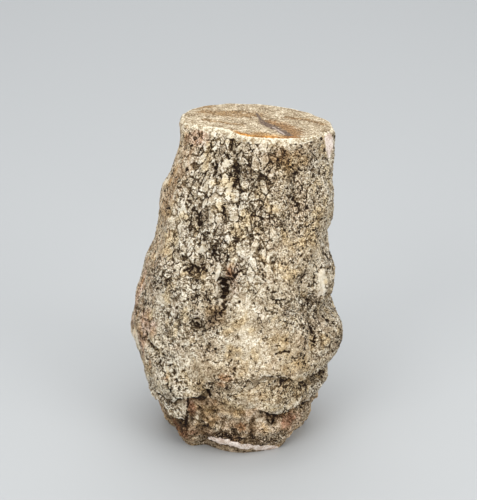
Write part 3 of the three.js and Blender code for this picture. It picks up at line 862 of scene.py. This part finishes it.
# The plates, crumbs and clods again, with joints narrower than the grooves they lie in.
joint = (1 - part["plate"].step(0.18, 0.44)) * part["open"] * plates
joint_shade = 0.3 + place.noise(4, 2).step(0.35, 0.65) * 0.45
plate_face = part["plate"].step(0.4, 0.8) * part["plate_tone"].step(0.35, 0.5) * plates
plate_edge = part["plate"].step(0.4, 0.6) * (1 - part["plate"].step(0.8, 1.3)) * plates
crumb_joint = (1 - part["crumb"].step(0.06, 0.35)) * place.noise(3.6, 2).step(0.52, 0.6)
chips = part["crumb_tone"].step(0.7, 0.9) * part["crumb"].step(0.1, 0.5)
clod_joint = (1 - part["clod"].step(0.25, 0.8)) * place.noise(5, 2).step(0.4, 0.55) * foot

# Where all that shows: on bark, and less on the faces of plates. New breaks and the sawn top are clean.
chip_face = ragged("chip", mottle * 0.4, 0.42, 0.58)
on_stone = 1 - sawn
on_bark = on_stone * (1 - chip_face * 0.9)
busy = on_bark * (1 - plate_face * 0.7)
lines = (hairs * DARKER["hair"]).most(
    strokes * DARKER["stroke"],
    fleck * DARKER["fleck"],
    fine_fleck * DARKER["fine fleck"],
    part["pit"] * DARKER["pit"] * (0.25 + pitted),
    crumb_joint * DARKER["crumb joint"] * (0.2 + pitted) * (1 - part["comb"]),
)
crevice = part["crevice"] * (0.25 + foot * 0.45 + pitted * 0.35) * (1 - plates) * on_bark
lines = (lines * busy).most(
    crevice * DARKER["crevice"],
    clod_joint * on_bark * DARKER["clod joint"],
    part["comb_cell"] * DARKER["comb cell"],
    joint * on_bark * joint_shade,
)
# A painted shadow under each lip: a dark line and a softer shade, and a painted highlight on its top.
under = 0 - part["over"]
lip_there = surface_value("lip_there")
lip_shadow_line = under.step(-0.2, 0.2) * (1 - under.step(2.6, 4.0)) * lip_there
lip_shade = under.step(0, 1) * (1 - under.step(4, 9)) * lip_there
lip_highlight = part["over"].step(0, 0.4) * (1 - part["over"].step(1.0, 2.2)) * lip_there
# The dark patches, which hold dirt and painted shade, the lost plates, and the painted shadows under lips.
grime_and_painted_shade = dark * (DARKER["dirt and painted shade"] + foot * 0.03) + part["gone"] * on_bark * DARKER["plate gone"]
grime_and_painted_shade = grime_and_painted_shade + lip_shadow_line * DARKER["lip shadow line"] + lip_shade * DARKER["lip shade"]

# The painted light and shade of the crumbs and of the lumps' slope go into the tone here.
tone = (mottle * 0.4 + part["grain"] * 0.5 + painted_top_light * 0.16 - painted_under_shade * 0.22) * rough
tone = (tone + speck * (1.2 + rough * 0.8)) * (1 - plate_face * 0.4)
tone = tone + painted_slope_shade * (0.5 + foot * 0.1) + broad * 0.35 + patches * (0.45 + foot * 0.3)
tone = tone + (part["plate_tone"] - 0.5) * plates * 0.3 + plate_edge * PALER["plate edge"]
tone = tone + (part["clod_tone"] - 0.5) * foot * 0.16
tone = tone + MEAN_TONE - foot * 0.05 - collar * 0.025 + clean * 0.02 - pitted * 0.03
light = chips * PALER["chips"] + glint * PALER["glint"] + halo * PALER["halo"]
light = (light + part["pit_edge"] * PALER["pit edge"]) * busy
# The painted highlight on each lip's top edge is added here.
light = light + pale * PALER["pale"] + lip_highlight * PALER["lip highlight"]
light = light + part["comb_ridge"] * PALER["comb ridge"]
tone = tone + light - lines - grime_and_painted_shade - part["crack"] * on_bark * DARKER["crack"]
bare = ragged("bare", place.drift(2.4, 2) * 0.7, 0.45, 0.6) * on_stone
bare_tone = BARE_TONE + mottle * 0.5 - fleck * 0.3
stain = surface.node("ShaderNodeMix", {}, {0: bare, 2: tone, 3: bare_tone}).ramp(STONE_COLOURS)

# The stains: brown in the foot, warm or cool in broad patches, reddish on the left side, then each of
# the stains above.
stain = stain.wash((foot * (0.7 + patches * 2)).step(0.1, 1.2), (241, 223, 208))
stain = stain.wash(hue.step(0.02, 0.16) * 0.7, (250, 236, 206))
stain = stain.wash((0 - hue).step(0.03, 0.16) * 0.6, (244, 237, 233))
streaked = place.vector("MULTIPLY", (1, 1, 0.3)).drift(3, 3, 0.6)
reddish = (surface_value("skin") * (0.35 + streaked * 4)).step(0.1, 1.1)
stain = stain.wash(reddish * 0.8, (241, 220, 201))
for name, (colour, _) in STAINS.items():
    stain = stain.wash(ragged(name, place.drift(5, 3) * 0.9, 0.25, 0.75) * (0.75 + mottle), colour)

# The chips are clean new breaks: pinkish white, mottled with a little brown.
break_tone = speck * 3 + mottle * 2.5 + patches * 2 + 0.5
new_break = break_tone.step(0, 1).mix(paint(200, 176, 158), paint(250, 237, 225))
stain = (chip_face * on_stone).mix(stain, new_break)

# The sawn face: tan, streaked from side to side, with a dark core, stains and a cream rim.
FACE_COLOURS = [
    (0.0, (96, 76, 50)),
    (0.3, (150, 129, 98)),
    (0.55, (190, 171, 140)),
    (0.8, (218, 203, 174)),
    (1.0, (242, 231, 208)),
]
streaks = place.vector("MULTIPLY", (0.3, 1, 1)).drift(1.6, 3, 0.65)
face_grain = place.drift(1.2, 3, 0.7)
wander = place.drift(2.5, 3, 0.65) * 1.8
face = (streaks * 1.4 + face_grain * 2.9 + speck * 2.6 + patches * 0.9 + 0.45).ramp(FACE_COLOURS)
face = face.wash(ragged("top_brown", wander * 1.4, 0.25, 1), (204, 182, 152))
face = face.wash(ragged("top_halo", wander, 0.2, 0.8), (214, 186, 156))
face = face.wash(ragged("top_orange", wander * 0.8, 0.1, 0.8) * 0.8, (250, 216, 164))
face = face.wash(ragged("rim_glow", wander * 0.5, 0.1, 0.8), (255, 216, 146))
core = (speck * 3 + face_grain * 3 + 0.5).step(0, 1).mix(paint(66, 52, 44), paint(132, 112, 94))
face = ragged("top_core", wander * 1.1, 0.25, 0.5).mix(face, core)
face = (ragged("top_vein", wander * 1.3, 0.5, 0.7) * 0.85).mix(face, paint(190, 174, 160))
stain = sawn.mix(stain, face)
cream = (speck * 2.6 + mottle * 2.4 + 0.55).step(0.1, 0.9).mix(paint(160, 136, 100), paint(250, 240, 214))
stain = ragged("rim", wander * 0.8, 0.42, 0.6).mix(stain, cream)

# Fine relief, in millimetres, that the mesh is too coarse for.
fine = speck * 0.5 + mottle * 0.8 * rough + place.drift(2, 2, 0.55) * 1.6 * rough
fine = fine * (1 - chip_face * 0.8) + (chips * 0.1 + glint * 0.12) * busy - lines * 0.8
fine = fine * (1 - sawn * 0.8)
bump = surface.node("ShaderNodeBump", {}, {"Strength": 1.0, "Distance": MM, "Height": fine})
finish = {"Base Color": stain, "Roughness": 0.85, "Specular IOR Level": 0.25, "Normal": bump}
shader = surface.node("ShaderNodeBsdfPrincipled", {}, finish)
surface.node("ShaderNodeOutputMaterial", {}, {"Surface": shader}, out=None)
branch.data.materials.clear()
branch.data.materials.append(stone)
bpy.ops.object.shade_smooth()

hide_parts(NODE)
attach(branch, "root")

# ---------------------------------------------------------------------------------------------------
# The floor: one wide sheet of pale matt paper that the stone stands on, reaching behind it past the
# edge of the view.
# ---------------------------------------------------------------------------------------------------
FLOOR_ACROSS = 9.0

bpy.ops.mesh.primitive_plane_add(size=FLOOR_ACROSS, location=(0, 0, 0))
floor = bpy.context.active_object
floor.name = "floor"
paper = bpy.data.materials.new("pale paper")
paper.use_nodes = True
matt = paper.node_tree.nodes["Principled BSDF"].inputs
matt["Base Color"].default_value = paint(184, 186, 186)
matt["Roughness"].default_value = 0.7
floor.data.materials.append(paper)

# ---------------------------------------------------------------------------------------------------
# The light: a broad soft panel overhead and a little in front, one each side of the front, one behind
# that lights the floor, and a pale room all round.
# ---------------------------------------------------------------------------------------------------
# Each panel's place, the point it faces, how wide it is, and its power in watts.
PANELS = {
    "overhead panel": ((0.1, -0.35, 1.5), (0, 0, 0.1), 1.4, 14),
    "front left panel": ((-1.1, -1.5, 0.9), (0, 0, 0.1), 1.0, 15),
    "front right panel": ((1.3, -1.2, 0.7), (0, 0, 0.1), 1.0, 11),
    "rear panel": ((0, 1.8, 1.6), (0, 1.6, 0), 2.0, 16),
}
for name, ((x, y, z), aim, across, power) in PANELS.items():
    bpy.ops.object.light_add(type="AREA", location=(x, y, z))
    lamp = bpy.context.active_object
    lamp.name = name
    lamp.data.size = across
    lamp.data.energy = power
    level = math.hypot(aim[0] - x, aim[1] - y)
    lamp.rotation_euler = (math.atan2(level, z - aim[2]), 0, math.atan2(aim[1] - y, aim[0] - x) - math.pi / 2)
room = bpy.data.worlds.new("pale room")
bpy.context.scene.world = room
room.use_nodes = True
walls = room.node_tree.nodes["Background"].inputs
walls["Color"].default_value = paint(240, 243, 248)
walls["Strength"].default_value = 0.62
bpy.context.scene.view_settings.view_transform = "Standard"

# ---------------------------------------------------------------------------------------------------
# The camera: at eye height in front of the stone, looking a little down on its sawn top.
# ---------------------------------------------------------------------------------------------------
EYE = (0.00132, -0.80566, 0.44)
LOOKING_DOWN = 21.74
FOCAL_PIXELS = 1382
FRAME_PIXELS = 500
SENSOR = 36

bpy.ops.object.camera_add(location=EYE, rotation=(math.radians(90 - LOOKING_DOWN), 0, 0))
camera = bpy.context.active_object
camera.data.sensor_width = SENSOR
camera.data.lens = FOCAL_PIXELS * SENSOR / FRAME_PIXELS
camera.data.clip_start = 0.05
bpy.context.scene.camera = camera
